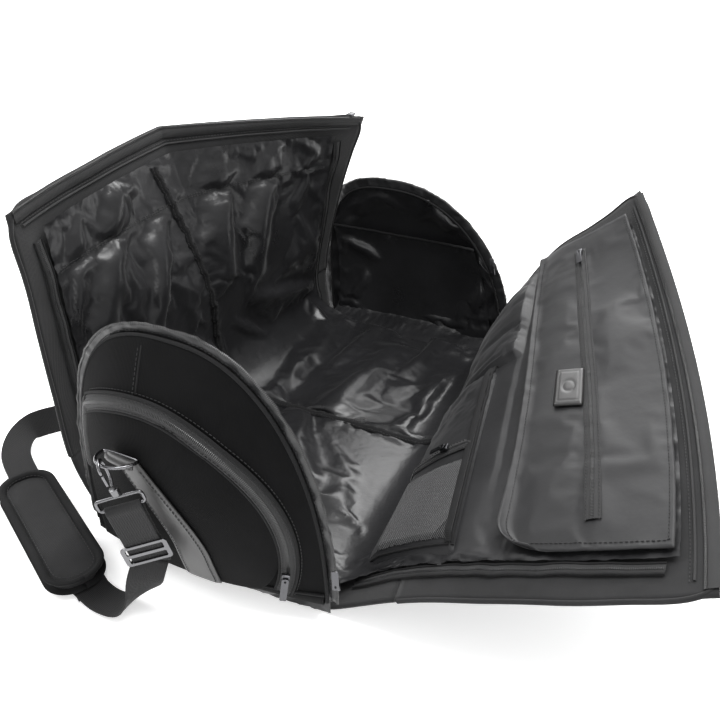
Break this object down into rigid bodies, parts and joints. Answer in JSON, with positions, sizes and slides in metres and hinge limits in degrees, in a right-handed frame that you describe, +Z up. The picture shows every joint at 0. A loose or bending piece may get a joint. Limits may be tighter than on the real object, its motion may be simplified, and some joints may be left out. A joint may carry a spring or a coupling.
{
  "type": "garment bag",
  "caption": "Convertible garment bag, unzipped and open: a long lined base, two fold-out wings, two D-shaped end panels, a garment flap, pockets and a padded shoulder strap.",
  "frame": {"origin": "middle of the base's bottom face, where the bag rests", "axes": "+X across the bag towards the wing that lies open, +Y along the bag from the front end panel to the rear one, +Z up"},
  "size_m": [0.9167, 0.8575, 0.4069],
  "materials": {
    "outer_fabric": "heavy matte woven polyester",
    "satin_lining": "glossy satin lining, wrinkled",
    "stiffener": "plain board",
    "zip_tape": "ribbed zip tape with coil teeth",
    "net": "open mesh",
    "webbing": "woven webbing",
    "pad_fabric": "padded fabric with bound edge",
    "leather": "smooth stitched leather",
    "gunmetal": "dark polished metal",
    "zip_metal": "dark plated zip hardware"
  },
  "bodies": {
    "base": {"base_panel": "outer_fabric", "base_board": "stiffener", "floor_lining": "satin_lining", "floor_piping": "outer_fabric", "strap_webbing": "webbing"},
    "front_end": {"front_end_panel": "outer_fabric", "front_end_lining": "satin_lining", "front_zip_tape": "zip_tape", "front_pocket_panel": "outer_fabric", "front_pocket_zip_tape": "zip_tape", "front_tab": "leather"},
    "front_pocket_zip": {"front_pocket_zip_slider": "zip_metal"},
    "front_pocket_zip_tag": {"front_pocket_zip_pull": "zip_metal"},
    "front_main_zip": {"front_main_zip_slider": "zip_metal"},
    "front_main_zip_tag": {"front_main_zip_pull": "zip_metal"},
    "front_ring": {"front_d_ring": "gunmetal"},
    "front_hook": {"front_hook_bow": "gunmetal", "front_hook_barrel": "gunmetal"},
    "front_gate": {"front_hook_gate": "gunmetal"},
    "front_eye": {"front_hook_eye": "gunmetal", "front_strap_drop": "webbing"},
    "slide": {"strap_slide": "gunmetal"},
    "rear_end": {"rear_end_panel": "outer_fabric", "rear_end_lining": "satin_lining", "rear_zip_tape": "zip_tape", "rear_tab": "leather", "rear_pocket_band": "satin_lining", "rear_pocket_elastic": "outer_fabric"},
    "rear_main_zip": {"rear_main_zip_slider": "zip_metal"},
    "rear_main_zip_tag": {"rear_main_zip_pull": "zip_metal"},
    "rear_ring": {"rear_d_ring": "gunmetal"},
    "rear_hook": {"rear_hook_bow": "gunmetal", "rear_hook_barrel": "gunmetal"},
    "rear_gate": {"rear_hook_gate": "gunmetal"},
    "rear_eye": {"rear_hook_eye": "gunmetal", "rear_strap_drop": "webbing"},
    "left_wing_lower": {"left_wing_lower_panel": "outer_fabric", "left_wing_lower_lining": "satin_lining"},
    "left_wing_upper": {"left_wing_upper_panel": "outer_fabric", "left_wing_upper_lining": "satin_lining", "left_zip_tape": "zip_tape", "left_zip_stop": "zip_metal"},
    "left_grip": {"left_handle": "webbing"},
    "right_wing_lower": {"right_wing_lower_panel": "outer_fabric", "right_wing_lower_lining": "satin_lining", "mesh_pocket_gusset": "satin_lining", "mesh_pocket_net": "net", "mesh_pocket_zip_tape": "zip_tape"},
    "mesh_pocket_zip": {"mesh_pocket_zip_slider": "zip_metal"},
    "mesh_pocket_zip_tag": {"mesh_pocket_zip_pull": "zip_metal"},
    "right_wing_upper": {"right_wing_upper_panel": "outer_fabric", "right_wing_upper_lining": "satin_lining", "right_zip_tape": "zip_tape"},
    "right_grip": {"right_handle": "webbing"},
    "flap": {"garment_flap": "satin_lining", "flap_zip_tape": "zip_tape", "leather_patch": "leather"},
    "flap_zip": {"flap_zip_slider": "zip_metal"},
    "flap_zip_tag": {"flap_zip_pull": "zip_metal"},
    "pad": {"strap_pad": "pad_fabric"}
  },
  "joints": [
    {"name": "front_end_fold", "type": "hinge", "parent": "base", "child": "front_end", "pos_m": [0, -0.305, 0.012], "axis": [1, 0, 0], "range_deg": [0, 25]},
    {"name": "rear_end_fold", "type": "hinge", "parent": "base", "child": "rear_end", "pos_m": [0, 0.305, 0.012], "axis": [-1, 0, 0], "range_deg": [0, 20]},
    {"name": "left_wing_fold", "type": "hinge", "parent": "base", "child": "left_wing_lower", "pos_m": [-0.152, 0, 0.01], "axis": [0, 1, 0], "range_deg": [-45, 0]},
    {"name": "left_wing_crease", "type": "hinge", "parent": "left_wing_lower", "child": "left_wing_upper", "pos_m": [-0.169, 0, 0.19], "axis": [0.0764, 0.9969, -0.0166], "range_deg": [0, 35]},
    {"name": "right_wing_fold", "type": "hinge", "parent": "base", "child": "right_wing_lower", "pos_m": [0.152, 0, 0.01], "axis": [0, -1, 0], "range_deg": [-20, 16]},
    {"name": "right_wing_crease", "type": "hinge", "parent": "right_wing_lower", "child": "right_wing_upper", "pos_m": [0.2285, 0, 0.1225], "axis": [0.1458, -0.9839, -0.1038], "range_deg": [0, 25]},
    {"name": "flap_lift", "type": "hinge", "parent": "right_wing_upper", "child": "flap", "pos_m": [0.3966, 0, 0.2132], "axis": [-0.253, 0.9493, 0.1869], "range_deg": [0, 32]},
    {"name": "left_handle_swing", "type": "hinge", "parent": "left_wing_upper", "child": "left_grip", "pos_m": [-0.2212, 0, 0.3273], "axis": [0.1351, 0.9902, -0.0366], "range_deg": [0, 55]},
    {"name": "right_handle_swing", "type": "hinge", "parent": "right_wing_upper", "child": "right_grip", "pos_m": [0.3851, 0, 0.1968], "axis": [0.2334, -0.9554, -0.1811], "range_deg": [0, 45]},
    {"name": "front_pocket_zip_run", "type": "hinge", "parent": "front_end", "child": "front_pocket_zip", "pos_m": [-0.03, -0.33652, 0.099], "axis": [0, -0.9923, -0.124], "range_deg": [0, 95]},
    {"name": "front_pocket_zip_pull_lift", "type": "hinge", "parent": "front_pocket_zip", "child": "front_pocket_zip_tag", "pos_m": [0.12127, -0.3398, 0.07757], "axis": [-0.9025, -0.4062, 0.143], "range_deg": [0, 100]},
    {"name": "front_main_zip_run", "type": "slide", "parent": "front_end", "child": "front_main_zip", "axis": [-0.04, 0, 0.9992], "range_m": [0, 0.08]},
    {"name": "front_main_zip_pull_lift", "type": "hinge", "parent": "front_main_zip", "child": "front_main_zip_tag", "pos_m": [0.16721, -0.31651, 0.06229], "axis": [0.9574, 0.2872, 0.0287], "range_deg": [0, 100]},
    {"name": "rear_main_zip_run", "type": "slide", "parent": "rear_end", "child": "rear_main_zip", "axis": [0.1191, 0, -0.9929], "range_m": [0, 0.035]},
    {"name": "rear_main_zip_pull_lift", "type": "hinge", "parent": "rear_main_zip", "child": "rear_main_zip_tag", "pos_m": [0.13372, 0.29533, 0.1535], "axis": [0.9739, 0.1948, 0.1169], "range_deg": [0, 100]},
    {"name": "flap_zip_run", "type": "slide", "parent": "flap", "child": "flap_zip", "axis": [0.2826, -0.9399, -0.1915], "range_m": [0, 0.13]},
    {"name": "flap_zip_pull_lift", "type": "hinge", "parent": "flap_zip", "child": "flap_zip_tag", "pos_m": [0.27142, 0.22673, 0.2473], "axis": [-0.8106, -0.1273, -0.5716], "range_deg": [0, 100]},
    {"name": "mesh_pocket_zip_run", "type": "slide", "parent": "right_wing_lower", "child": "mesh_pocket_zip", "axis": [-0.7115, 0.0243, -0.7023], "range_m": [0, 0.05]},
    {"name": "mesh_pocket_zip_pull_lift", "type": "hinge", "parent": "mesh_pocket_zip", "child": "mesh_pocket_zip_tag", "pos_m": [0.20166, -0.09708, 0.10864], "axis": [-0.0775, 0.9906, 0.1128], "range_deg": [0, 100]},
    {"name": "front_ring_swing", "type": "hinge", "parent": "front_end", "child": "front_ring", "pos_m": [-0.045, -0.36551, 0.2015], "axis": [-1, 0, 0], "range_deg": [0, 15]},
    {"name": "front_hook_swing", "type": "hinge", "parent": "front_ring", "child": "front_hook", "pos_m": [-0.045, -0.39501, 0.211], "axis": [-1, 0, 0], "range_deg": [0, 8]},
    {"name": "front_gate_slide", "type": "slide", "parent": "front_hook", "child": "front_gate", "axis": [-0.2052, -0.1282, 0.9703], "range_m": [-0.0035, 0], "stiffness_N_per_m": 180},
    {"name": "front_swivel", "type": "hinge", "parent": "front_hook", "child": "front_eye", "pos_m": [-0.045, -0.39501, 0.211], "axis": [-0.2052, -0.1282, 0.9703], "range_deg": [-20, 20]},
    {"name": "strap_slide_run", "type": "slide", "parent": "front_eye", "child": "slide", "axis": [-0.2052, -0.1282, 0.9703], "range_m": [0, 0.025]},
    {"name": "rear_ring_swing", "type": "hinge", "parent": "rear_end", "child": "rear_ring", "pos_m": [-0.02783, 0.33797, 0.2015], "axis": [1, 0, 0], "range_deg": [0, 15]},
    {"name": "rear_hook_swing", "type": "hinge", "parent": "rear_ring", "child": "rear_hook", "pos_m": [-0.02783, 0.36747, 0.1954], "axis": [1, 0, 0], "range_deg": [0, 8]},
    {"name": "rear_gate_slide", "type": "slide", "parent": "rear_hook", "child": "rear_gate", "axis": [0, 0, 1], "range_m": [-0.0035, 0], "stiffness_N_per_m": 180},
    {"name": "rear_swivel", "type": "hinge", "parent": "rear_hook", "child": "rear_eye", "pos_m": [-0.02783, 0.36747, 0.1954], "axis": [0, 0, 1], "range_deg": [-20, 20]},
    {"name": "pad_slide", "type": "slide", "parent": "base", "child": "pad", "axis": [-0.866, 0.5, 0], "range_m": [-0.008, 0.03]}
  ]
}
